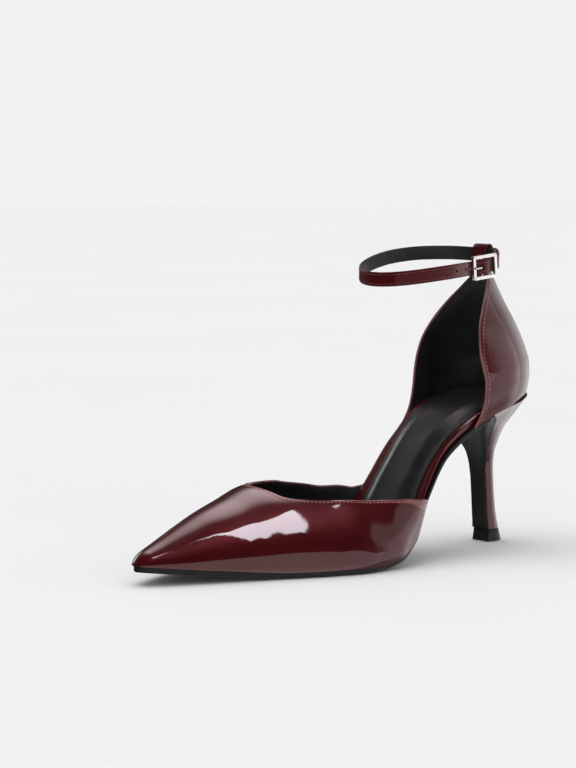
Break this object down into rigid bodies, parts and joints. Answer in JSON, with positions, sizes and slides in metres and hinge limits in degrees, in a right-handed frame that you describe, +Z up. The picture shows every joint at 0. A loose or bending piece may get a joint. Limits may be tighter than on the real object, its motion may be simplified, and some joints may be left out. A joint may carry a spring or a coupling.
{
  "type": "ankle strap pump",
  "caption": "Left pointed pump in patent leather with cut-away sides, a separate heel counter, a buckled ankle strap and a slim high heel.",
  "frame": {"origin": "centre of the underside of the heel's top piece, on the floor", "axes": "+Z up, +Y from the toe to the heel, +X to the outer (lateral) side of the left foot"},
  "size_m": [0.0816, 0.2287, 0.1432],
  "materials": {
    "patent": "deep burgundy patent, glossy",
    "black_leather": "soft black lining leather, satin",
    "sole": "smooth black, satin",
    "top_piece": "black, matt",
    "silver": "polished silver"
  },
  "bodies": {
    "root": {"vamp": "patent", "counter": "patent", "ankle_strap": "patent", "strap_loop": "patent", "insole": "patent", "heel": "patent", "sock": "black_leather", "outsole": "sole", "heel_flap": "sole", "top_piece": "top_piece", "buckle_frame": "silver", "buckle_prong": "silver"}
  },
  "joints": []
}
